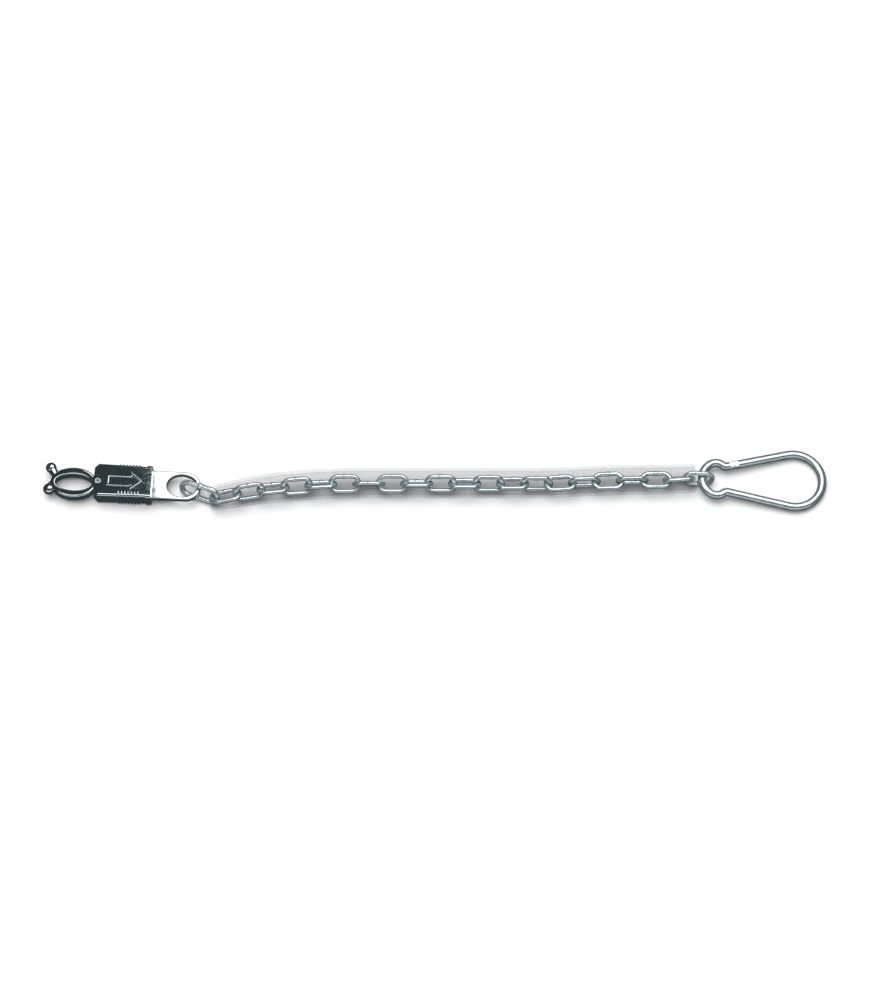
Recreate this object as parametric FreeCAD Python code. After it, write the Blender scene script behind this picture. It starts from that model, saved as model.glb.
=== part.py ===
import FreeCAD, Part
import math
import os

# Horse tie chain: a double-jaw panic snap, a short-link chain in a clear hose and a pear-shaped
# spring hook. Millimetres, +Z up, the object lies along X with the panic snap at -X.
# The origin is the middle of the bottom of the whole object's box.

# --- chain ---
WIRE_R = 1.6             # chain wire radius
BOW_R = 5.25             # centreline radius of a link's end bow
CROWN = 10.05            # from a link's centre to the wire centre at its crown
LINK_GAP = 0.1           # play between two interlocked crowns
WELD_SWELL = 1.16        # how much thicker the wire is where each link is welded
WELD_HALF = 2.6          # half the swelling's length
# One entry per link, from the panic snap to the spring hook: heading in the floor plane, rise and
# the turn about the link's own length. Interlocked links stand nearly square to each other.
YAW = [-21, 11, 10, 6, 5, 3, 1, 0, 0, 0, 0, 0, 0, 0, 0, 3, 3, 2, 1, 1, 4, 3]
RISE = [5, 2.7, 0, 0, 0, 0, 0, 0, 0, 0, 0, 0, 0, 0, 0, 0, 0, 0, 0, 0, 0, -14]
ROLL = [
    62, -29, 56, -36, 43, -48, 28, 111, 25, -52, 45,
    -40, 53, -29, 66, -10, 86, 3, 96, -5, -63, -112,
]
SLACK = {1: 0.5, 20: 0.7, 21: 3.0}        # extra play at the near end of these links
FIRST_WIRE_R = 1.9       # the first link, in the snap's eye, is a larger one
FIRST_BOW_R = 5.3
FIRST_CROWN = 13.4
FIRST_REACH = 0.9        # from the eye's edge to the first link's centre
FIRST_Y = -3.0           # the first link hangs this far to the near side of the eye's middle
LINKS = len(YAW)

# --- hose ---
HOSE_R = 10.5
HOSE_WALL = 1.9
HOSE_Z = 10.5
HOSE_GAP = 2.7           # room between two hose lengths, so that they can bend
HOSE_LEAD = 2.5          # the first length starts this much early
HOSE_TAIL = 0.8          # and the last one ends this much late
HOSE_END_SCALE = {1: 0.89, 2: 0.95, 19: 0.98, 20: 0.96}   # the hose narrows towards its two ends
HOSE_FIRST = 1           # the first and last links that lie in the hose
HOSE_LAST = 20

# --- panic snap, in its own frame: x from the jaw pin towards the eye ---
SNAP_YAW = -3.0
SNAP_Z = 7.3
PIN_X = -235.6
PIN_Y = 2.2
PIN_R = 1.6
PIN_HEAD_R = 2.3
PIN_HEAD_T = 0.4
PIN_HOLE_R = 0.8
PIN_HOLE_END = 1.5       # the drilling stops this far from the pin's middle
KNUCKLE_R = 4.6
KNUCKLE_Z = 2.7
CHEEK_Z = 4.0
CHEEK_HALF = 3.9         # half width of the bars behind the cheeks
FIT = 0.12               # running play
PIN_PLAY = 0.05          # a turning part's play on its pin or rivet
SLEEVE_X0 = -2.8
SLEEVE_X1 = 37.8
SLEEVE_W0 = 24.8
SLEEVE_W1 = 23.4
SLEEVE_T = 13.4
CAVITY_W = 21.4
CAVITY_H = 9.0
MOUTH_W = 15.2
LIP = 2.5
NOTCH_R = 2.9            # the notch in the mouth that shows the jaw pin
SLEEVE_BEVEL = 3.0
SLEEVE_ROUND = 1.9
RIM_ROUND = 2.4
END_WALL = 1.5
RIM_X = 34.4
RIM_W = 25.2
RIM_T = 14.4
RIBS = 7
RIB_X = 14.4
RIB_PITCH = 2.3
RIB_WIDTH = 1.2
RIB_HEIGHT = 0.6
RIB_ROUND = 0.5
RIB_NEAR = -8.4          # on the near side the ribs climb on to the broad faces as far as this
RIB_FAR = 11.4           # on the far side they stay on the narrow face
ARROW_H = 0.65
ARROW_ROUND = 0.6
ARROW_X = (6.0, 22.6, 31.6)               # tail, start of the head and point
ARROW_SHAFT = 4.5        # half widths
ARROW_HEAD = 7.4
ARROW_STROKE = 2.1
PLATE_W = 21.0
PLATE_T = 4.5
PLATE_SHOULDER = 22.0
PLATE_TIP = 72.1
PLATE_ROUND = 0.9
EYE_X = 58.8
EYE_LENGTH = 21.0
EYE_WIDTH = 16.6
TANG_W = 12.0
BLOCK_X = 5.6
BLOCK_END = 12.0
STOP_X = 34.6
STOP_R = 1.5
SPRING_Y = 8.4
SPRING_R = 1.8
SPRING_WIRE = 0.35
SPRING_TURNS = 9

# --- jaws ---
RING_X = -17.0
RING_Y = -1.8
RING_IN = (13.0, 6.2)
RING_OUT = (16.4, 11.3)
JAW_T = 8.0
JAW_ROUND = 1.5          # outer edges
JAW_INNER_ROUND = 0.7
TIP_Y = 1.5
UPPER_BALL = (-34.0, 9.8, 3.8)            # x, y and radius of the ball at each jaw's tip
LOWER_BALL = (-34.2, -6.4, 4.1)
UPPER_ROOT = (-30.6, 4.6, 2.6)            # x, y and radius where its neck joins the jaw
LOWER_ROOT = (-31.6, -1.4, 2.5)
BALL_END = -33.5
SPLIT = 0.06                              # half the gap between the two closed jaws
NECK_SHARE = 0.88                         # the neck's radius at the ball, as a share of the ball's
CLEAR = 60.0                              # past every part of the snap, for the solids that trim it

# --- spring hook, in its own plane: origin in the small eye, x towards the bow ---
HOOK_R = 3.0
EYE_SIDE_R = 7.5
EYE_SIDE_Y = 4.8
EYE_CROWN = 10.0
WAIST = (8.4, 9.9)
WAIST_R = 3.6
HOOK_BOW_X = 54.8
HOOK_BOW_R = 20.0
HOOK_Z = 3.0
HOOK_BACK = 2.7          # play between the last link's crown and the hook's
HINGE_AT = 4.6           # from the waist along the arm to the gate's rivet
GATE_LENGTH = 37.5       # from the rivet to the gate's free end
TONGUE_T = 2.2
TONGUE_R = 2.5           # the tongue's rounded end, which the plunger presses on
TONGUE_HALF = 2.3
TONGUE_ROOT = 4.5        # how far the tongue reaches back into the body
NOSE_HALF = 2.2          # the nose's tongue, with the seat for the latch pin
NOSE_ROOT = 2.0
SLOT_PLAY = 0.15
BUTT_GAP = 0.25          # room between the gate's ends and the body's
LATCH_BACK = 2.3         # latch pin from the gate's free end
RIVET_R = 1.1
RIVET_PLAY = 0.03
RIVET_HEAD_R = 1.7
FLAT_Z = 2.5             # half thickness of the gate's flattened hinge end
LATCH_R = 0.9
BORE_R = 1.35
BORE_DEPTH = 20.0
HEEL_SLOT = 3.2          # from the rivet to the end of the gate's slot
NOSE_SLOT_PLAY = 0.4
RIVET_HEAD_GAP = 0.05
RIVET_HEAD_T = 0.4
PLUNGER_X = 2.56         # from the rivet to the plunger's face
PLUNGER_R = 1.29
PLUNGER_LENGTH = 4.4
PILOT_R = 0.55
PILOT_LENGTH = 2.0
GATE_SPRING_X = 7.1
GATE_SPRING_R = 0.95
GATE_SPRING_WIRE = 0.2
GATE_SPRING_TURNS = 11
SPRING_END_GAP = 0.1

V = FreeCAD.Vector
X_AXIS = V(1, 0, 0)
Y_AXIS = V(0, 1, 0)
Z_AXIS = V(0, 0, 1)


def turn(axis, degrees):
    return FreeCAD.Rotation(axis, degrees)


def heading(yaw, rise, roll=0.0):
    return turn(Z_AXIS, yaw) * turn(Y_AXIS, -rise) * turn(X_AXIS, roll)


def placed(shape, base, rotation):
    done = shape.copy()
    done.Placement = FreeCAD.Placement(base, rotation).multiply(shape.Placement)
    return done


def box(x0, x1, y0, y1, z0, z1):
    return Part.makeBox(x1 - x0, y1 - y0, z1 - z0, V(x0, y0, z0))


def rod(radius, start, end):
    along = end - start
    return Part.makeCylinder(radius, along.Length, start, along)


def slab(wire, z0, z1):
    face = Part.Face(wire)
    face.translate(V(0, 0, z0))
    return face.extrude(V(0, 0, z1 - z0))


def closed(points):
    return Part.makePolygon(points + points[:1])


def rounded_slab(x0, x1, width, height, radius):
    """A bar along X with its four long edges rounded."""
    bar = box(x0, x1, -width / 2, width / 2, -height / 2, height / 2)
    long_edges = [e for e in bar.Edges if abs(e.tangentAt(e.FirstParameter).x) > 0.9]
    return bar.makeFillet(radius, long_edges)


def lens(centre, half, z0, z1):
    """An upright elliptical column."""
    oval = Part.Ellipse(V(centre[0], centre[1], 0), half[0], half[1])
    return slab(Part.Wire(oval.toShape()), z0, z1)


def level_edges(shape, z, beyond=None):
    """The edges that lie at height z, and past x = beyond if that is given."""
    found = []
    for edge in shape.Edges:
        b = edge.BoundBox
        if abs(b.ZMin - z) < 1e-4 and abs(b.ZMax - z) < 1e-4 and (beyond is None or b.XMax > beyond):
            found.append(edge)
    return found


def coil(radius, wire, turns, length):
    """A compression spring along +X from x = 0."""
    pitch = (length - 2 * wire) / turns
    path = Part.makeHelix(pitch, pitch * turns, radius)
    ring = Part.Wire(Part.Circle(V(radius, 0, 0), Y_AXIS, wire).toShape())
    made = Part.Wire(path.Edges).makePipeShell([ring], True, True)
    made.rotate(V(0, 0, 0), Y_AXIS, 90)
    made.translate(V(wire, 0, 0))
    return made


# ---------------------------------------------------------------- chain

def make_link(wire_r, bow_r, crown):
    """One link in the XY plane, its length along X."""
    straight = crown - bow_r
    parts = []
    for side in (-1, 1):
        y = side * bow_r
        parts.append(rod(wire_r, V(-straight, y, 0), V(straight, y, 0)))
        bow = Part.makeTorus(bow_r, wire_r, V(0, 0, 0), Z_AXIS, 0, 360, 180)
        bow.rotate(V(0, 0, 0), Z_AXIS, -90 if side > 0 else 90)
        bow.translate(V(side * straight, 0, 0))
        parts.append(bow)
    body = parts[0].fuse(parts[1:])
    weld = Part.Ellipse(V(0, 0, 0), WELD_HALF, wire_r * WELD_SWELL).toShape(0, math.pi)
    chord = Part.makeLine(V(-WELD_HALF, 0, 0), V(WELD_HALF, 0, 0))
    bead = Part.Face(Part.Wire([weld, chord])).revolve(V(0, 0, 0), X_AXIS, 360)
    bead.translate(V(0, bow_r, 0))
    return body.fuse(bead).removeSplitter().Solids[0]


def link_frames():
    """Each link's centre and rotation, its far crown and where it turns on the link before it."""
    eye = snap_point(V((EYE_X + EYE_LENGTH / 2 + PLATE_TIP) / 2, FIRST_Y, 0))
    frames = []
    for i in range(LINKS):
        rotation = heading(YAW[i], RISE[i], ROLL[i])
        along = rotation.multVec(X_AXIS)
        crown = CROWN
        if i == 0:
            pivot = eye
            centre = eye + along * FIRST_REACH
            crown = FIRST_CROWN
        else:
            pivot = frames[-1]["far"]
            held_by = FIRST_WIRE_R if i == 1 else WIRE_R
            centre = pivot + along * (CROWN - WIRE_R - held_by - LINK_GAP - SLACK.get(i, 0))
        frames.append({
            "centre": centre,
            "rotation": rotation,
            "pivot": pivot,
            "far": centre + along * crown,
            "along": along,
            "side": rotation.multVec(Y_AXIS),
        })
    return frames


def make_links(frames):
    first = make_link(FIRST_WIRE_R, FIRST_BOW_R, FIRST_CROWN)
    link = make_link(WIRE_R, BOW_R, CROWN)
    made = {}
    for i, f in enumerate(frames):
        made[f"chain_link_{i + 1:02d}"] = placed(link if i else first, f["centre"], f["rotation"])
    return made


def make_hose(frames):
    """Short lengths of tube, one round each link that lies in the hose."""
    made = {}
    for i in range(HOSE_FIRST, HOSE_LAST + 1):
        f = frames[i]
        start = f["pivot"]
        end = f["far"]
        flat = V(end.x - start.x, end.y - start.y, 0)
        flat.normalize()
        scale = HOSE_END_SCALE.get(i, 1.0)
        outer = HOSE_R * scale
        inner = outer - HOSE_WALL
        first = V(start.x, start.y, HOSE_Z * scale) + flat * (HOSE_GAP / 2)
        last = V(end.x, end.y, HOSE_Z * scale) - flat * (HOSE_GAP / 2)
        if i == HOSE_FIRST:
            first = first - flat * HOSE_LEAD
        if i == HOSE_LAST:
            last = last + flat * HOSE_TAIL
        tube = rod(outer, first, last).cut(rod(inner, first - flat, last + flat))
        made[f"hose_length_{i:02d}"] = tube.Solids[0]
    return made


# ---------------------------------------------------------------- panic snap

def snap_placement():
    return FreeCAD.Placement(V(PIN_X, PIN_Y, SNAP_Z), turn(Z_AXIS, SNAP_YAW))


def snap_point(point):
    return snap_placement().multVec(point)


def sleeve_outer():
    """The sleeve's outer form: tapered in plan, rounded, with bevelled corners at the mouth."""
    w0 = SLEEVE_W0 / 2
    w1 = SLEEVE_W1 / 2
    bevel = SLEEVE_BEVEL
    outline = closed([
        V(SLEEVE_X0, -w0 + bevel, 0), V(SLEEVE_X0 + bevel, -w0, 0), V(SLEEVE_X1, -w1, 0),
        V(SLEEVE_X1, w1, 0), V(SLEEVE_X0 + bevel, w0, 0), V(SLEEVE_X0, w0 - bevel, 0),
    ])
    half = SLEEVE_T / 2
    body = slab(outline, -half, half)
    rounding = level_edges(body, half) + level_edges(body, -half)
    return body.makeFillet(SLEEVE_ROUND, rounding)


def sleeve_ribs():
    """Grip ribs across the two narrow sides."""
    w = (SLEEVE_W0 + SLEEVE_W1) / 2 + 2 * RIB_HEIGHT
    t = SLEEVE_T + 2 * RIB_HEIGHT
    ribs = []
    for i in range(RIBS):
        x = RIB_X + i * RIB_PITCH
        ring = rounded_slab(x, x + RIB_WIDTH, w, t, RIM_ROUND)
        outline = [e for e in ring.Edges if e.BoundBox.XLength < 1e-6]
        ring = ring.makeFillet(RIB_ROUND, outline)
        ribs.append(ring.cut(box(x - 1, x + RIB_WIDTH + 1, RIB_NEAR, RIB_FAR, -t, t)))
    return ribs


def arrow(z0, z1):
    """A raised outline of a block arrow that points the way the sleeve is pulled."""
    x0, x1, x2 = ARROW_X
    outline = closed([
        V(x0, -ARROW_SHAFT, 0), V(x1, -ARROW_SHAFT, 0), V(x1, -ARROW_HEAD, 0), V(x2, 0, 0),
        V(x1, ARROW_HEAD, 0), V(x1, ARROW_SHAFT, 0), V(x0, ARROW_SHAFT, 0),
    ])
    face = Part.Face(outline)
    ring = face.cut(face.makeOffset2D(-ARROW_STROKE))
    ring.translate(V(0, 0, z0))
    ridge = ring.extrude(V(0, 0, z1 - z0))
    return ridge.makeFillet(ARROW_ROUND, level_edges(ridge, z1))


def make_sleeve():
    rim = rounded_slab(RIM_X, SLEEVE_X1, RIM_W, RIM_T, RIM_ROUND)
    top = SLEEVE_T / 2
    body = sleeve_outer().fuse([rim] + sleeve_ribs() + [arrow(top - 0.4, top + ARROW_H)])
    half_h = CAVITY_H / 2
    half_w = CAVITY_W / 2
    cavity = box(SLEEVE_X0 + LIP, SLEEVE_X1 - END_WALL, -half_w, half_w, -half_h, half_h)
    mouth = box(SLEEVE_X0 - 1, SLEEVE_X0 + LIP + 1, -MOUTH_W / 2, MOUTH_W / 2, -half_h, half_h)
    slot_h = PLATE_T / 2 + FIT
    slot = box(SLEEVE_X1 - END_WALL - 1, SLEEVE_X1 + 1, -half_w, half_w, -slot_h, slot_h)
    notch = rod(NOTCH_R, V(0, 0, -top - 1), V(0, 0, top + 1))
    notch = notch.fuse(box(SLEEVE_X0 - 1, 0, -NOTCH_R, NOTCH_R, -top - 1, top + 1))
    return body.cut([cavity, mouth, slot, notch]).removeSplitter().Solids[0]


def make_shank():
    """The eye plate, its tang and the fork that holds the jaw pin, in one piece."""
    w = PLATE_W / 2
    t = PLATE_T / 2
    arc_x = PLATE_TIP - w
    outline = Part.Wire([
        Part.makeLine(V(PLATE_SHOULDER, -w, 0), V(arc_x, -w, 0)),
        Part.Arc(V(arc_x, -w, 0), V(PLATE_TIP, 0, 0), V(arc_x, w, 0)).toShape(),
        Part.makeLine(V(arc_x, w, 0), V(PLATE_SHOULDER, w, 0)),
        Part.makeLine(V(PLATE_SHOULDER, w, 0), V(PLATE_SHOULDER, -w, 0)),
    ])
    plate = slab(outline, -t, t).cut(lens((EYE_X, 0), (EYE_LENGTH / 2, EYE_WIDTH / 2), -t - 1, t + 1))
    past = PLATE_SHOULDER + 0.1
    plate = plate.makeFillet(PLATE_ROUND, level_edges(plate, t, past) + level_edges(plate, -t, past))
    tang = box(BLOCK_X, PLATE_SHOULDER + 1, -TANG_W / 2, TANG_W / 2, -t, t)
    block = box(BLOCK_X, BLOCK_END, -TANG_W / 2, TANG_W / 2, -CHEEK_Z, CHEEK_Z)
    body = plate.fuse([tang, block])
    for side in (-1, 1):
        z0, z1 = sorted((side * (KNUCKLE_Z + FIT), side * CHEEK_Z))
        cheek = rod(KNUCKLE_R, V(0, 0, z0), V(0, 0, z1))
        bar = box(0, BLOCK_X + 1, -CHEEK_HALF, CHEEK_HALF, z0, z1)
        body = body.fuse([cheek, bar])
    holes = [
        rod(PIN_R, V(0, 0, -CHEEK_Z - 1), V(0, 0, CHEEK_Z + 1)),
        rod(STOP_R, V(STOP_X, 0, -t - 1), V(STOP_X, 0, t + 1)),
    ]
    return body.cut(holes).removeSplitter().Solids[0]


def make_jaw_pin():
    body = rod(PIN_R, V(0, 0, -CHEEK_Z), V(0, 0, CHEEK_Z))
    top = CHEEK_Z + PIN_HEAD_T
    for side in (-1, 1):
        body = body.fuse(rod(PIN_HEAD_R, V(0, 0, side * CHEEK_Z), V(0, 0, side * top)))
    ends = [(V(0, 0, side * PIN_HOLE_END), V(0, 0, side * (top + 1))) for side in (-1, 1)]
    drill = [rod(PIN_HOLE_R, low, high) for low, high in ends]
    return body.cut(drill).removeSplitter().Solids[0]


def make_stop_pin():
    reach = CAVITY_H / 2 - 0.2
    return rod(STOP_R, V(STOP_X, 0, -reach), V(STOP_X, 0, reach))


def make_sleeve_spring(side):
    x0 = SLEEVE_X0 + LIP
    spring = coil(SPRING_R, SPRING_WIRE, SPRING_TURNS, PLATE_SHOULDER - x0 - 0.1)
    spring.translate(V(x0 + 0.05, side * SPRING_Y, 0))
    return spring.Solids[0]


def horn(ball, root):
    """A ball at a jaw's tip with a neck that thickens into the jaw."""
    x, y, r = ball
    centre = V(x, y, 0)
    foot = V(root[0], root[1], 0)
    neck_r = root[2]
    along = foot - centre
    neck = Part.makeCone(r * NECK_SHARE, neck_r, along.Length, centre, along)
    return Part.makeSphere(r, centre).fuse([neck, Part.makeSphere(neck_r, foot)])


def make_jaw(side):
    """One jaw. side is 1 for the far (+Y) jaw, which has the upper knuckle, and -1 for the near one."""
    half = JAW_T / 2
    opening = lens((RING_X, RING_Y), RING_IN, -half - 1, half + 1)
    oval = lens((RING_X, RING_Y), RING_OUT, -half, half)
    oval = oval.makeFillet(JAW_ROUND, level_edges(oval, half) + level_edges(oval, -half))
    ring = oval.cut(opening)
    level = level_edges(ring, half) + level_edges(ring, -half)
    inner = [edge for edge in level if edge.BoundBox.XLength < 2 * RING_IN[0] + 1e-3]
    ring = ring.makeFillet(JAW_INNER_ROUND, inner)
    tip_part = box(-CLEAR, RING_X, TIP_Y + SPLIT, CLEAR, -CLEAR, CLEAR)
    root_part = box(RING_X, 0, SPLIT, CLEAR, -CLEAR, CLEAR)
    keep = tip_part.fuse(root_part)
    if side < 0:
        below_tip = box(-CLEAR, RING_X, -CLEAR, TIP_Y - SPLIT, -CLEAR, CLEAR)
        below_root = box(RING_X, 0, -CLEAR, -SPLIT, -CLEAR, CLEAR)
        keep = below_tip.fuse(below_root)
    arm = ring.common(keep)
    clear_r = KNUCKLE_R + FIT
    middle = side * FIT / 2
    low, high = sorted((middle, side * KNUCKLE_Z))
    relief = [
        rod(clear_r, V(0, 0, high), V(0, 0, CLEAR)),
        rod(clear_r, V(0, 0, -CLEAR), V(0, 0, low)),
    ]
    arm = arm.cut(relief)
    knuckle = rod(KNUCKLE_R, V(0, 0, low), V(0, 0, high))
    ball, root = (UPPER_BALL, UPPER_ROOT) if side > 0 else (LOWER_BALL, LOWER_ROOT)
    tip_room = box(-CLEAR, BALL_END, -CLEAR, CLEAR, -CLEAR, CLEAR)
    jaw = arm.fuse([knuckle, horn(ball, root).common(keep.fuse(tip_room))])
    jaw = jaw.cut(rod(PIN_R + PIN_PLAY, V(0, 0, -CLEAR), V(0, 0, CLEAR)))
    return jaw.removeSplitter().Solids[0]


def make_snap():
    local = {
        "snap_shank": make_shank(),
        "snap_sleeve": make_sleeve(),
        "jaw_far": make_jaw(1),
        "jaw_near": make_jaw(-1),
        "jaw_pin": make_jaw_pin(),
        "sleeve_stop_pin": make_stop_pin(),
        "sleeve_spring_far": make_sleeve_spring(1),
        "sleeve_spring_near": make_sleeve_spring(-1),
    }
    at = snap_placement()
    return {name: placed(shape, at.Base, at.Rotation) for name, shape in local.items()}


# ---------------------------------------------------------------- spring hook

def arm_slope():
    """The angle of the straight arm, from the waist to where it meets the bow."""
    dx = HOOK_BOW_X - WAIST[0]
    dy = -WAIST[1]
    return math.atan2(dy, dx) + math.asin(HOOK_BOW_R / math.hypot(dx, dy))


def arm_point(distance, side=1):
    """A point of the arm's centreline, measured from the waist."""
    a = arm_slope()
    return V(WAIST[0] + distance * math.cos(a), side * (WAIST[1] + distance * math.sin(a)), 0)


def waist_points():
    """Centre and ends of the arc that joins the eye's side to the straight arm."""
    a = arm_slope()
    along = V(math.cos(a), math.sin(a), 0)
    normal = V(-math.sin(a), math.cos(a), 0)
    side = V(0, EYE_SIDE_Y, 0)
    start = V(WAIST[0], WAIST[1], 0) + normal * WAIST_R - side
    b = start.dot(along)
    c = start.dot(start) - (EYE_SIDE_R + WAIST_R) ** 2
    centre = side + start + along * (-b + math.sqrt(b * b - c))
    on_eye = side + (centre - side) * (EYE_SIDE_R / (EYE_SIDE_R + WAIST_R))
    on_arm = centre - normal * WAIST_R
    between = ((on_eye - centre) + (on_arm - centre))
    between.normalize()
    return on_eye, centre + between * WAIST_R, on_arm


def mirrored(point):
    return V(point.x, -point.y, point.z)


def hook_path():
    """The body's centreline, from the gate's hinge round the eye, the long arm and the bow to the nose."""
    eye_c = (EYE_SIDE_Y ** 2 - (EYE_CROWN - EYE_SIDE_R) ** 2) / (2 * (EYE_CROWN - EYE_SIDE_R))
    eye_r = eye_c + EYE_CROWN
    on_eye, on_dent, on_arm = waist_points()
    reach = math.atan2(EYE_SIDE_Y, -eye_c)
    corner = V(eye_c + eye_r * math.cos(reach), eye_r * math.sin(reach), 0)
    top = V(0, EYE_SIDE_Y + EYE_SIDE_R, 0)
    a = arm_slope()
    tangent = V(HOOK_BOW_X - HOOK_BOW_R * math.sin(a), HOOK_BOW_R * math.cos(a), 0)
    body_end = arm_point(HINGE_AT - HOOK_R - BUTT_GAP)
    nose = arm_point(HINGE_AT + GATE_LENGTH + BUTT_GAP)
    runs = [
        Part.makeLine(body_end, on_arm),
        Part.Arc(on_arm, on_dent, on_eye).toShape(),
        Part.Arc(on_eye, top, corner).toShape(),
        Part.Arc(corner, V(-EYE_CROWN, 0, 0), mirrored(corner)).toShape(),
        Part.Arc(mirrored(corner), mirrored(top), mirrored(on_eye)).toShape(),
        Part.Arc(mirrored(on_eye), mirrored(on_dent), mirrored(on_arm)).toShape(),
        Part.makeLine(mirrored(on_arm), mirrored(tangent)),
        Part.Arc(mirrored(tangent), V(HOOK_BOW_X + HOOK_BOW_R, 0, 0), tangent).toShape(),
        Part.makeLine(tangent, nose),
    ]
    return Part.Wire(runs), body_end, nose


def arm_rotation():
    return turn(Z_AXIS, math.degrees(arm_slope()))


def on_gate(shape):
    """Moves a shape from the gate's own frame, x along the gate from its rivet, into the hook's."""
    return placed(shape, arm_point(HINGE_AT), arm_rotation())


def make_hook_body():
    path, body_end, nose = hook_path()
    a = arm_slope()
    along = V(math.cos(a), math.sin(a), 0)
    section = Part.Wire(Part.Circle(body_end, along, HOOK_R).toShape())
    body = path.makePipeShell([section], True, False)
    half = TONGUE_T / 2
    tongue = rod(TONGUE_R, V(0, 0, -half), V(0, 0, half))
    tongue = tongue.fuse(box(-TONGUE_ROOT, 0, -TONGUE_HALF, TONGUE_HALF, -half, half))
    tongue = tongue.cut(rod(RIVET_R + RIVET_PLAY, V(0, 0, -HOOK_R), V(0, 0, HOOK_R)))
    reach = GATE_LENGTH - 2 * LATCH_BACK
    hook = box(reach, GATE_LENGTH + NOSE_ROOT, -NOSE_HALF, NOSE_HALF, -half, half)
    pin_x = GATE_LENGTH - LATCH_BACK
    seat_r = LATCH_R + FIT
    seat = rod(seat_r, V(pin_x, 0, -HOOK_R), V(pin_x, 0, HOOK_R))
    way_in = box(pin_x - seat_r, pin_x + seat_r, -HOOK_R, 0, -HOOK_R, HOOK_R)
    hook = hook.cut([seat, way_in])
    return body.fuse([on_gate(tongue), on_gate(hook)]).removeSplitter().Solids[0]


def make_gate():
    """A rod of the hook's own thickness, slotted at both ends and bored for its spring."""
    blank = rod(HOOK_R, V(0, 0, 0), V(GATE_LENGTH, 0, 0))
    heel = rod(HOOK_R, V(0, 0, -HOOK_R), V(0, 0, HOOK_R))
    heel = heel.common(rod(HOOK_R, V(-HOOK_R, 0, 0), V(HOOK_R, 0, 0)))
    slot_half = TONGUE_T / 2 + SLOT_PLAY
    past = HOOK_R + 1
    nose_slot = GATE_LENGTH - 2 * LATCH_BACK - NOSE_SLOT_PLAY
    cuts = [
        box(-past, HEEL_SLOT, -past, past, -slot_half, slot_half),
        box(nose_slot, GATE_LENGTH + 1, -past, past, -slot_half, slot_half),
        rod(BORE_R, V(0, 0, 0), V(BORE_DEPTH, 0, 0)),
        rod(RIVET_R + PIN_PLAY, V(0, 0, -past), V(0, 0, past)),
        box(-past, HOOK_R, -past, past, FLAT_Z, past),
        box(-past, HOOK_R, -past, past, -past, -FLAT_Z),
        rod(LATCH_R, V(GATE_LENGTH - LATCH_BACK, 0, -past), V(GATE_LENGTH - LATCH_BACK, 0, past)),
    ]
    return blank.fuse(heel).cut(cuts).removeSplitter().Solids[0]


def make_gate_rivet():
    body = rod(RIVET_R, V(0, 0, -FLAT_Z), V(0, 0, FLAT_Z))
    low = FLAT_Z + RIVET_HEAD_GAP
    high = low + RIVET_HEAD_T
    heads = [rod(RIVET_HEAD_R, V(0, 0, side * low), V(0, 0, side * high)) for side in (-1, 1)]
    stem = rod(RIVET_R, V(0, 0, -high), V(0, 0, high))
    return body.fuse(heads + [stem]).removeSplitter().Solids[0]


def make_latch_pin():
    x = GATE_LENGTH - LATCH_BACK
    return rod(LATCH_R, V(x, 0, -HOOK_R * 0.93), V(x, 0, HOOK_R * 0.93))


def make_plunger():
    end = PLUNGER_X + PLUNGER_LENGTH
    stem = rod(PLUNGER_R, V(PLUNGER_X, 0, 0), V(end, 0, 0))
    pilot = rod(PILOT_R, V(PLUNGER_X, 0, 0), V(end + PILOT_LENGTH, 0, 0))
    return stem.fuse(pilot).removeSplitter().Solids[0]


def make_gate_spring():
    length = BORE_DEPTH - GATE_SPRING_X - SPRING_END_GAP
    spring = coil(GATE_SPRING_R, GATE_SPRING_WIRE, GATE_SPRING_TURNS, length)
    spring.translate(V(GATE_SPRING_X, 0, 0))
    return spring.Solids[0]


def hook_placement(frames):
    """The hook's eye hangs in the last link, and its bow lies on the floor."""
    last = frames[-1]
    crown = last["far"] - last["along"] * (WIRE_R + HOOK_R + HOOK_BACK)
    length = HOOK_BOW_X + HOOK_BOW_R + EYE_CROWN
    tilt = math.degrees(math.asin((HOOK_Z - crown.z) / length))
    rotation = heading(0.0, tilt)
    base = crown + rotation.multVec(V(EYE_CROWN, 0, 0))
    return FreeCAD.Placement(base, rotation)


def make_hook(frames):
    local = {
        "hook_body": make_hook_body(),
        "hook_gate": on_gate(make_gate()),
        "gate_rivet": on_gate(make_gate_rivet()),
        "gate_latch_pin": on_gate(make_latch_pin()),
        "gate_plunger": on_gate(make_plunger()),
        "gate_spring": on_gate(make_gate_spring()),
    }
    at = hook_placement(frames)
    made = {}
    for name, shape in local.items():
        done = shape.copy()
        done.Placement = at.multiply(shape.Placement)
        made[name] = done
    return made


# ---------------------------------------------------------------- the whole object

def make_all():
    """Every node, moved so that the middle of the bottom of the whole box is the origin."""
    frames = link_frames()
    nodes = make_snap()
    nodes.update(make_links(frames))
    nodes.update(make_hose(frames))
    nodes.update(make_hook(frames))
    bounds = Part.makeCompound(list(nodes.values())).optimalBoundingBox(False, False)
    shift = V(-bounds.Center.x, -bounds.Center.y, -bounds.ZMin)
    for shape in nodes.values():
        shape.translate(shift)
    return nodes, frames, shift


def main():
    os.makedirs("parts", exist_ok=True)
    nodes, frames, shift = make_all()
    for name, shape in nodes.items():
        if not shape.isValid() or shape.ShapeType != "Solid":
            print("check", name, shape.ShapeType, shape.isValid())
        shape.exportStep(f"parts/{name}.step")
    print(len(nodes), "nodes, shift", shift)


main()
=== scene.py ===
import math

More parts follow.
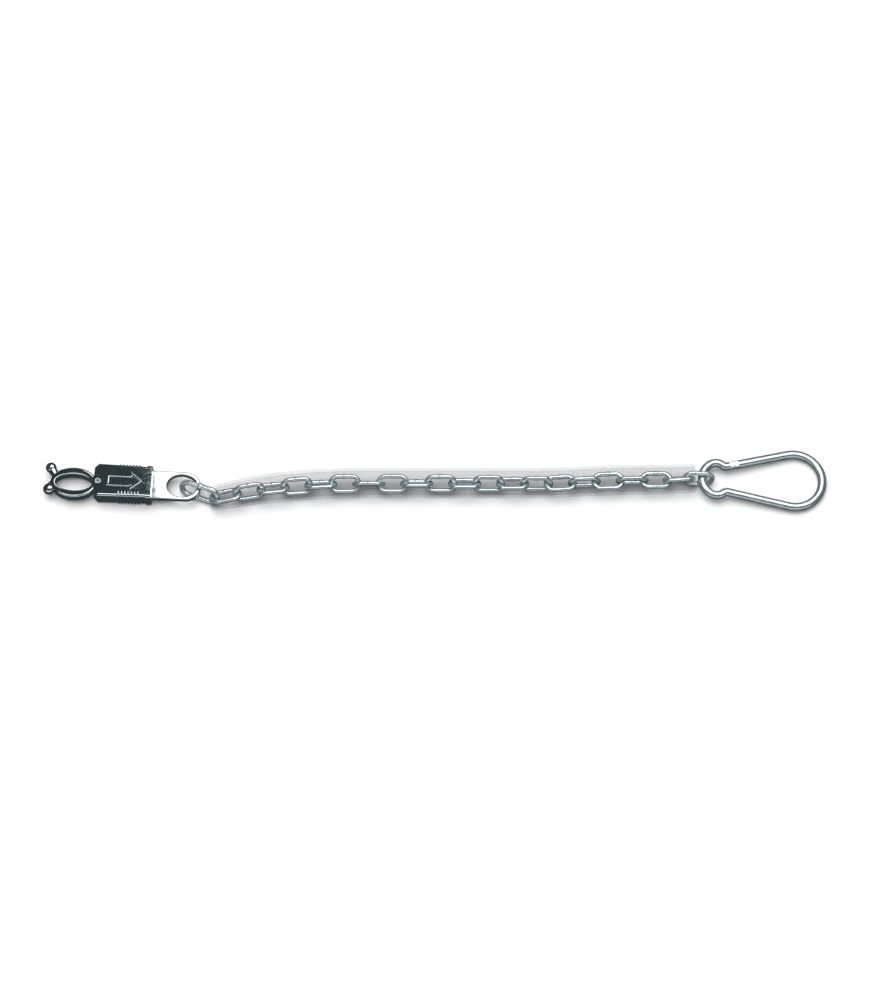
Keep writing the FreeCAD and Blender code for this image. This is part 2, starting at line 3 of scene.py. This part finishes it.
import bpy
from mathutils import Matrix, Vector


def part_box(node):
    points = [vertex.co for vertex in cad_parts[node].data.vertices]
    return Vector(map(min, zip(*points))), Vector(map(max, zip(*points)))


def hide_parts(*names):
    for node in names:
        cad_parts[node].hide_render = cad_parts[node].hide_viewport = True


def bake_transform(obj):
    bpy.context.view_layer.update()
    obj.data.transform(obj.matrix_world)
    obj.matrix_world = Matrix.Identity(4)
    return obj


# Metres, in the part's own frame: the object lies along X on the floor, z = 0.
CAMERA_ELEVATION = math.radians(67)
CAMERA_DISTANCE = 3.0
CAMERA_TARGET = Vector((0.0016, -0.0161, 0.009))
VIEW_HEIGHT = 0.70            # what the picture's long side takes in
SENSOR = 36.0                 # millimetres, along the picture's long side
NEAREST_SEEN = 0.1
FARTHEST_SEEN = 30.0

HOSE_LENGTHS = 20             # CAD lengths of hose, one on each of the links 02 to 21
HOSE_WALL = 0.0019
LEFT_REACH = 0.0045           # how far the hose's ends reach past its first and last CAD lengths
RIGHT_REACH = 0.0018
LEFT_PINCH = 0.86             # the cut end by the snap, as a share of the first length's radius
SLOPE_STEP = 1e-3             # how far along an interval its direction is measured
RINGS_PER_LENGTH = 16
RINGS_PER_END = 8
RIM_RINGS = 8
RING_POINTS = 72

SPRING_RADIUS = 0.0018        # the two springs in the sleeve, to the middle of their wire
SPRING_WIRE = 0.00035
SPRING_TURNS = 9
STEPS_PER_TURN = 20
WIRE_POINTS = 8

# The zinc's cloudy colour, from its dull patches to its bright ones, and how far it's a metal.
HOOK_ZINC = ((0.38, 0.46, 0.49), (0.50, 0.57, 0.60), (0.62, 0.67, 0.69))
# The chain's copy of the zinc is painted lighter than the hook's: painted light, so that the links seen
# through the smoky hose look brighter.
CHAIN_ZINC_PAINTED_LIGHTER = ((0.60, 0.71, 0.75), (0.74, 0.83, 0.86), (0.85, 0.90, 0.92))
ZINC_METALLIC = 0.78
CLOUD_STOPS = (0.30, 0.55, 0.75)

FLOOR_HALF = 6.0
KEY_FROM = Vector((-0.4, 0.5, 2.3))       # the key is a sun, so only this direction counts
KEY_STRENGTH = 2.35
KEY_ANGLE = math.radians(55)
BACKDROP = (1.0, 1.0, 1.0)                # what the camera sees past the floor
FILL = (0.52, 0.52, 0.52)                 # what lights the matt surfaces from all round
DARK_ROOM = (0.045, 0.066, 0.07)          # what the metal reflects between the lights

# Each softbox's name, place, the point that it faces, radiance, width and depth.
SOFTBOXES = (
    ("overhead", (0.20, 0.32, 0.75), (0.20, 0.32, 0.0), 3.4, 0.898, 0.78),
    ("snap_strip", (-0.37, -0.02, 0.75), (-0.37, -0.02, 0.0), 3.0, 0.22, 0.26),
    ("front_card", (0.0, -1.1, 0.40), (0.0, 0.0, 0.40), 0.80, 3.0, 0.8),
)

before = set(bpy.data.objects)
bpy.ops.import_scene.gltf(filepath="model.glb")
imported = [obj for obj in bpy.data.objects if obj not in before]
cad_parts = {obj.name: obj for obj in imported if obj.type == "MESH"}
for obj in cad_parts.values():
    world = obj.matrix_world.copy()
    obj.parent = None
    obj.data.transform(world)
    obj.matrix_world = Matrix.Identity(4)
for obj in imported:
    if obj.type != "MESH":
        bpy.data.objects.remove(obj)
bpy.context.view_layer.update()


# ---------------------------------------------------------------- helpers

def corners(name):
    """The low and the high corner of a CAD node's box."""
    low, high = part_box(name)
    return Vector(low), Vector(high)


def middle_of(name):
    """The middle of a CAD node's box."""
    low, high = corners(name)
    return (low + high) / 2


def new_piece(name, spots, faces):
    """A mesh object in the scene, from its points and faces."""
    mesh = bpy.data.meshes.new(name)
    mesh.from_pydata([tuple(s) for s in spots], [], faces)
    piece = bpy.data.objects.new(name, mesh)
    bpy.context.scene.collection.objects.link(piece)
    return piece


# ---------------------------------------------------------------- materials

def new_material(name):
    """An empty node material with a Principled shader, and a helper that adds nodes to it."""
    material = bpy.data.materials.new(name)
    material.use_nodes = True
    tree = material.node_tree
    shader = tree.nodes["Principled BSDF"]

    def add(kind, **inputs):
        node = tree.nodes.new(kind)
        for key, value in inputs.items():
            node.inputs[key.replace("_", " ")].default_value = value
        return node

    return material, tree, shader, add


def noise(tree, add, coordinates, scale, detail=4.0, stretch=None):
    """A noise texture at the given coordinates. scale is in cycles per metre."""
    source = coordinates
    if stretch:
        mapping = add("ShaderNodeMapping", Scale=stretch)
        tree.links.new(coordinates, mapping.inputs["Vector"])
        source = mapping.outputs["Vector"]
    node = add("ShaderNodeTexNoise", Scale=scale, Detail=detail, Roughness=0.55)
    tree.links.new(source, node.inputs["Vector"])
    return node.outputs["Fac"]


def spread(tree, add, value, low, high, start=0.3, end=0.7):
    """Maps a 0 to 1 value on to low to high, for a socket that takes a number."""
    node = add("ShaderNodeMapRange")
    node.inputs["From Min"].default_value = start
    node.inputs["From Max"].default_value = end
    node.inputs["To Min"].default_value = low
    node.inputs["To Max"].default_value = high
    tree.links.new(value, node.inputs["Value"])
    return node.outputs["Result"]


def ramp(tree, add, value, stops):
    """Maps a 0 to 1 value on to colours. Each stop is (position, colour)."""
    node = add("ShaderNodeValToRGB")
    elements = node.color_ramp.elements
    while len(elements) < len(stops):
        elements.new(0.5)
    for element, (position, colour) in zip(elements, stops):
        element.position = position
        element.color = (*colour, 1.0)
    tree.links.new(value, node.inputs["Fac"])
    return node.outputs["Color"]


def bump(tree, add, height, distance, strength, below=None):
    """A bump of the given depth in metres, on top of the one below if that is given."""
    node = add("ShaderNodeBump", Strength=strength, Distance=distance)
    tree.links.new(height, node.inputs["Height"])
    if below:
        tree.links.new(below, node.inputs["Normal"])
    return node.outputs["Normal"]


def chrome_plate():
    """Polished chrome on a casting: slightly wavy, with fine scuffs and a few dull patches."""
    material, tree, shader, add = new_material("chrome_plate")
    where = add("ShaderNodeTexCoord").outputs["Object"]
    shader.inputs["Metallic"].default_value = 1.0
    patches = noise(tree, add, where, scale=90)
    tint = ramp(tree, add, patches, [(0.35, (0.50, 0.56, 0.57)), (0.65, (0.58, 0.63, 0.64))])
    tree.links.new(tint, shader.inputs["Base Color"])
    scuffs = noise(tree, add, where, scale=700, detail=6.0, stretch=(0.25, 1.0, 1.0))
    tree.links.new(spread(tree, add, scuffs, low=0.02, high=0.055), shader.inputs["Roughness"])
    swell = noise(tree, add, where, scale=110, detail=1.0)
    waves = bump(tree, add, swell, distance=0.00006, strength=0.15)
    fine = bump(tree, add, scuffs, distance=0.000004, strength=0.15, below=waves)
    tree.links.new(fine, shader.inputs["Normal"])
    return material


def zinc_plate(name, tones):
    """Bluish zinc on drawn wire: cloudy sheen, small pits and rubbed spots."""
    material, tree, shader, add = new_material(name)
    where = add("ShaderNodeTexCoord").outputs["Object"]
    shader.inputs["Metallic"].default_value = ZINC_METALLIC
    clouds = noise(tree, add, where, scale=140, detail=5.0)
    tint = ramp(tree, add, clouds, list(zip(CLOUD_STOPS, tones)))
    tree.links.new(tint, shader.inputs["Base Color"])
    grain = noise(tree, add, where, scale=900, detail=5.0)
    tree.links.new(spread(tree, add, grain, low=0.12, high=0.26), shader.inputs["Roughness"])
    waves = bump(tree, add, clouds, distance=0.00010, strength=0.5)
    pits = bump(tree, add, grain, distance=0.00003, strength=0.5, below=waves)
    tree.links.new(pits, shader.inputs["Normal"])
    return material


def clear_hose():
    """Clear soft plastic, smoky and a little cloudy, with scuffs in its gloss and a duller edge."""
    material, tree, shader, add = new_material("clear_hose")
    where = add("ShaderNodeTexCoord").outputs["Object"]
    haze = noise(tree, add, where, scale=60, detail=3.0, stretch=(0.3, 1.0, 1.0))
    tint = ramp(tree, add, haze, [(0.3, (0.74, 0.75, 0.76)), (0.7, (0.80, 0.81, 0.82))])
    tree.links.new(tint, shader.inputs["Base Color"])
    shader.inputs["IOR"].default_value = 1.5
    scuffs = noise(tree, add, where, scale=500, detail=5.0, stretch=(0.1, 1.0, 1.0))
    tree.links.new(spread(tree, add, scuffs, low=0.16, high=0.34), shader.inputs["Roughness"])
    tree.links.new(bump(tree, add, haze, distance=0.0002, strength=0.3), shader.inputs["Normal"])
    smoke = add("ShaderNodeBsdfTransparent")
    clear = ramp(tree, add, haze, [(0.3, (0.934, 0.936, 0.940)), (0.7, (0.950, 0.952, 0.955))])
    tree.links.new(clear, smoke.inputs["Color"])
    edge = add("ShaderNodeLayerWeight", Blend=0.3).outputs["Facing"]
    body = add("ShaderNodeMixShader")
    share = spread(tree, add, edge, low=0.03, high=0.09, start=0.0, end=1.0)
    tree.links.new(share, body.inputs["Fac"])
    tree.links.new(smoke.outputs["BSDF"], body.inputs[1])
    tree.links.new(shader.outputs["BSDF"], body.inputs[2])
    tree.links.new(body.outputs["Shader"], tree.nodes["Material Output"].inputs["Surface"])
    return material


def bare_steel():
    """Pin and spring steel, duller than the plated parts."""
    material, tree, shader, add = new_material("bare_steel")
    where = add("ShaderNodeTexCoord").outputs["Object"]
    shader.inputs["Metallic"].default_value = 1.0
    patches = noise(tree, add, where, scale=400, detail=5.0)
    tint = ramp(tree, add, patches, [(0.3, (0.30, 0.32, 0.34)), (0.7, (0.48, 0.50, 0.52))])
    tree.links.new(tint, shader.inputs["Base Color"])
    tree.links.new(spread(tree, add, patches, low=0.22, high=0.42), shader.inputs["Roughness"])
    tree.links.new(bump(tree, add, patches, distance=0.00002, strength=0.5), shader.inputs["Normal"])
    return material


def pale_floor():
    """Matt white paper."""
    material, tree, shader, add = new_material("pale_floor")
    where = add("ShaderNodeTexCoord").outputs["Object"]
    paper = noise(tree, add, where, scale=30, detail=3.0)
    tint = ramp(tree, add, paper, [(0.3, (0.90, 0.90, 0.90)), (0.7, (0.92, 0.92, 0.92))])
    tree.links.new(tint, shader.inputs["Base Color"])
    shader.inputs["Roughness"].default_value = 0.9
    shader.inputs["Specular IOR Level"].default_value = 0.0
    return material


def paint_cad_nodes():
    """Every CAD node that stays gets the material of what it's made of."""
    chrome = chrome_plate()
    hook_zinc = zinc_plate("hook_zinc", HOOK_ZINC)
    # The chain gets the lighter zinc: painted light on the links seen through the hose.
    chain_zinc_painted_lighter = zinc_plate("chain_zinc_painted_lighter", CHAIN_ZINC_PAINTED_LIGHTER)
    steel = bare_steel()
    for name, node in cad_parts.items():
        if name.startswith(("snap_", "jaw_far", "jaw_near")):
            finish = chrome
        elif name.startswith("chain_link"):
            finish = chain_zinc_painted_lighter
        elif name.startswith("hook_"):
            finish = hook_zinc
        else:
            finish = steel
        node.data.materials.clear()
        node.data.materials.append(finish)
        for face in node.data.polygons:
            face.material_index = 0


# ---------------------------------------------------------------- hose

def hose_stations():
    """Points on the hose's middle line, and its radius at each.

    They are its left end, the middle of each CAD length and its right end.
    """
    middles = []
    radii = []
    for k in range(1, HOSE_LENGTHS + 1):
        low, high = corners(f"hose_length_{k:02d}")
        middles.append((low + high) / 2)
        radii.append((high.z - low.z) / 2)
    ends = []
    last = HOSE_LENGTHS - 1
    for k, inner, past in ((0, 1, LEFT_REACH), (last, last - 1, RIGHT_REACH)):
        low, high = corners(f"hose_length_{k + 1:02d}")
        outward = (middles[k] - middles[inner]).normalized()
        reach = (high.x - low.x - 2 * radii[k] * abs(outward.y)) / abs(outward.x) / 2
        ends.append(middles[k] + outward * (reach + past))
    points = [ends[0]] + middles + [ends[1]]
    sizes = [radii[0] * LEFT_PINCH] + radii + [radii[-1]]
    for point, size in zip(points, sizes):
        point.z = size
    return points, sizes


def smooth_between(values, i, t):
    """Catmull-Rom from values[i] to values[i + 1]."""
    p1, p2 = values[i], values[i + 1]
    p0 = values[i - 1] if i > 0 else p1 * 2 - p2
    p3 = values[i + 2] if i + 2 < len(values) else p2 * 2 - p1
    return (p1 * 2 + (p2 - p0) * t + (p0 * 2 - p1 * 5 + p2 * 4 - p3) * t * t
            + (p1 * 3 - p0 - p2 * 3 + p3) * t ** 3) * 0.5


def hose_line(points, sizes):
    """For each interval between stations, a list of (point, direction, radius, how fast it widens)."""
    intervals = []
    for i in range(len(points) - 1):
        count = RINGS_PER_END if i in (0, len(points) - 2) else RINGS_PER_LENGTH
        stops = []
        for n in range(count + 1):
            t = n / count
            before, after = t - SLOPE_STEP, t + SLOPE_STEP
            here = smooth_between(points, i, t)
            ahead = smooth_between(points, i, after)
            behind = smooth_between(points, i, before)
            size = smooth_between(sizes, i, t)
            widening = smooth_between(sizes, i, after) - smooth_between(sizes, i, before)
            length = (ahead - behind).length
            stops.append((here, (ahead - behind) / length, size, widening / length))
        intervals.append(stops)
    return intervals


def ring(point, direction, radius, lean, inward):
    """The points of one ring round the line, and their normals. lean tips the normals along the line."""
    side = direction.cross(Vector((0, 0, 1))).normalized()
    up = side.cross(direction).normalized()
    spots, normals = [], []
    for n in range(RING_POINTS):
        a = 2 * math.pi * n / RING_POINTS
        radial = side * math.cos(a) + up * math.sin(a)
        normal = (radial - direction * lean).normalized()
        spots.append(point + radial * radius)
        normals.append(-normal if inward else normal)
    return spots, normals


def rim(stop, sign):
    """Rings over the rounded lip of a cut end, from outside to inside. sign is -1 at the left end."""
    point, direction, radius, _ = stop
    half = HOSE_WALL / 2
    rings = []
    for n in range(RIM_RINGS + 1):
        a = math.pi * n / RIM_RINGS
        out = direction * sign
        centre = point - out * half * (1 - math.sin(a))
        middle = radius - half
        spots, radials = ring(centre, direction, middle + half * math.cos(a), 0.0, False)
        normals = [(r * math.cos(a) + out * math.sin(a)).normalized() for r in radials]
        rings.append((spots, normals))
    return rings


def strip(rings, first, flip):
    """Faces that join each ring to the next, where the first ring's points start at first."""
    faces = []
    for i in range(len(rings) - 1):
        for n in range(RING_POINTS):
            m = (n + 1) % RING_POINTS
            a = first + i * RING_POINTS
            quad = (a + n, a + m, a + RING_POINTS + m, a + RING_POINTS + n)
            faces.append(quad[::-1] if flip else quad)
    return faces


def hose_mesh(name, runs):
    """One mesh from runs of rings. Each run is (rings, flip)."""
    spots, normals, faces = [], [], []
    for rings, flip in runs:
        faces += strip(rings, len(spots), flip)
        for ring_spots, ring_normals in rings:
            spots += ring_spots
            normals += ring_normals
    piece = new_piece(name, spots, faces)
    piece.data.shade_smooth()
    piece.data.update()
    piece.data.normals_split_custom_set_from_vertices([tuple(n) for n in normals])
    return piece


def hose_runs(stops, cut_end=None):
    """The runs of rings for one piece. cut_end is 0 or -1 where its first or last stop is a cut end."""
    outer = [ring(p, d, r, lean, False) for p, d, r, lean in stops]
    inner = [ring(p, d, r - HOSE_WALL, lean, True) for p, d, r, lean in stops]
    if cut_end is None:
        return [(outer, False), (inner, True)]
    end = stops[cut_end][0]
    kept = [n for n, stop in enumerate(stops) if (stop[0] - end).length > HOSE_WALL]
    at_start = cut_end == 0
    towards = kept[::-1] if at_start else kept
    lip = rim(stops[cut_end], -1 if at_start else 1)
    rings = [outer[n] for n in towards] + lip + [inner[n] for n in towards[::-1]]
    return [(rings, at_start)]


def make_hose():
    """Nineteen lengths that meet ring to ring, each bending from one link to the next."""
    points, sizes = hose_stations()
    intervals = hose_line(points, sizes)
    finish = clear_hose()
    pieces = HOSE_LENGTHS - 1
    for k in range(1, pieces + 1):
        stops = intervals[k]
        stood_for = [f"hose_length_{k:02d}"]
        cut_end = None
        if k == 1:
            stops = intervals[0][:-1] + stops
            cut_end = 0
        if k == pieces:
            stops = stops + intervals[k + 1][1:]
            stood_for.append(f"hose_length_{k + 1:02d}")
            cut_end = -1
        piece = hose_mesh(f"hose_{k:02d}", hose_runs(stops, cut_end))
        piece.data.materials.append(finish)
        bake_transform(piece)
        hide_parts(*stood_for)


# ---------------------------------------------------------------- sleeve springs

def coil_mesh(name, start, end):
    """A coil of round wire from start to end."""
    along = (end - start).normalized()
    side = along.cross(Vector((0, 0, 1))).normalized()
    up = side.cross(along)
    run = (end - start).length - 2 * SPRING_WIRE
    count = SPRING_TURNS * STEPS_PER_TURN
    spots, faces = [], [tuple(range(WIRE_POINTS))]
    for n in range(count + 1):
        a = 2 * math.pi * n / STEPS_PER_TURN
        radial = side * math.cos(a) + up * math.sin(a)
        centre = start + along * (SPRING_WIRE + run * n / count) + radial * SPRING_RADIUS
        for m in range(WIRE_POINTS):
            b = 2 * math.pi * m / WIRE_POINTS
            spots.append(centre + (radial * math.cos(b) + along * math.sin(b)) * SPRING_WIRE)
    for n in range(count):
        first = n * WIRE_POINTS
        for m in range(WIRE_POINTS):
            k = (m + 1) % WIRE_POINTS
            faces.append((first + m, first + WIRE_POINTS + m, first + WIRE_POINTS + k, first + k))
    faces.append(tuple(count * WIRE_POINTS + m for m in range(WIRE_POINTS))[::-1])
    piece = new_piece(name, spots, faces)
    piece.data.shade_smooth()
    piece.data.update()
    return piece


def make_springs():
    """The two springs again, as coils of round wire along the sleeve."""
    along = (middle_of("sleeve_stop_pin") - middle_of("jaw_pin")).normalized()
    width = 2 * (SPRING_RADIUS + SPRING_WIRE)
    for side in ("far", "near"):
        name = f"sleeve_spring_{side}"
        low, high = corners(name)
        middle = (low + high) / 2
        half = (high.x - low.x - width * abs(along.y)) / along.x / 2
        start = middle - along * half
        end = middle + along * half
        piece = coil_mesh(f"spring_{side}", start, end)
        piece.data.materials.append(bpy.data.materials["bare_steel"])
        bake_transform(piece)
        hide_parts(name)


# ---------------------------------------------------------------- studio

def make_floor():
    """A plain white floor that isn't seen in the metal."""
    signs = ((-1, -1), (1, -1), (1, 1), (-1, 1))
    spots = [(x * FLOOR_HALF, y * FLOOR_HALF, 0) for x, y in signs]
    floor = new_piece("floor", spots, [(0, 1, 2, 3)])
    floor.data.materials.append(pale_floor())
    floor.visible_glossy = False


def aim(thing, target):
    """Turns a light or the camera towards a point."""
    thing.rotation_euler = (target - thing.location).to_track_quat("-Z", "Y").to_euler()


def add_light(name, kind, location, target, **settings):
    """A light that the camera doesn't see."""
    data = bpy.data.lights.new(name, kind)
    for key, value in settings.items():
        setattr(data, key, value)
    light = bpy.data.objects.new(name, data)
    light.location = location
    aim(light, target)
    light.visible_camera = False
    bpy.context.scene.collection.objects.link(light)
    return light


def softbox(name, location, target, radiance, width, depth):
    """A rectangular light that shows in glossy things but doesn't light matt ones."""
    power = radiance * math.pi * width * depth
    light = add_light(
        name, "AREA", Vector(location), Vector(target),
        energy=power, shape="RECTANGLE", size=width, size_y=depth,
    )
    light.visible_diffuse = False


def make_lights():
    """A soft key from above, behind and the left lights what's matt. The softboxes light the metal."""
    key = add_light("key", "SUN", KEY_FROM, Vector(), energy=KEY_STRENGTH, angle=KEY_ANGLE)
    key.visible_glossy = False
    for settings in SOFTBOXES:
        softbox(*settings)


def world_shade(tree, colour):
    """A plain background of one colour."""
    shade = tree.nodes.new("ShaderNodeBackground")
    shade.inputs["Color"].default_value = (*colour, 1.0)
    return shade.outputs["Background"]


def make_world():
    """A white backdrop to the camera, soft grey fill on matt things, and a dark room in the metal."""
    world = bpy.data.worlds.new("studio")
    bpy.context.scene.world = world
    world.use_nodes = True
    tree = world.node_tree
    tree.nodes.clear()
    path = tree.nodes.new("ShaderNodeLightPath")
    shown = world_shade(tree, FILL)
    for which, colour in (("Is Glossy Ray", DARK_ROOM), ("Is Camera Ray", BACKDROP)):
        mix = tree.nodes.new("ShaderNodeMixShader")
        tree.links.new(path.outputs[which], mix.inputs["Fac"])
        tree.links.new(shown, mix.inputs[1])
        tree.links.new(world_shade(tree, colour), mix.inputs[2])
        shown = mix.outputs["Shader"]
    out = tree.nodes.new("ShaderNodeOutputWorld")
    tree.links.new(shown, out.inputs["Surface"])


def make_camera():
    """A long lens that looks down on the object from the near side."""
    data = bpy.data.cameras.new("camera")
    data.sensor_width = SENSOR
    data.lens = SENSOR * CAMERA_DISTANCE / VIEW_HEIGHT
    data.clip_start = NEAREST_SEEN
    data.clip_end = FARTHEST_SEEN
    camera = bpy.data.objects.new("camera", data)
    back = Vector((0, -math.cos(CAMERA_ELEVATION), math.sin(CAMERA_ELEVATION)))
    camera.location = CAMERA_TARGET + back * CAMERA_DISTANCE
    aim(camera, CAMERA_TARGET)
    bpy.context.scene.collection.objects.link(camera)
    bpy.context.scene.camera = camera


paint_cad_nodes()
make_hose()
make_springs()
make_floor()
make_lights()
make_world()
make_camera()
bpy.context.scene.view_settings.view_transform = "Standard"
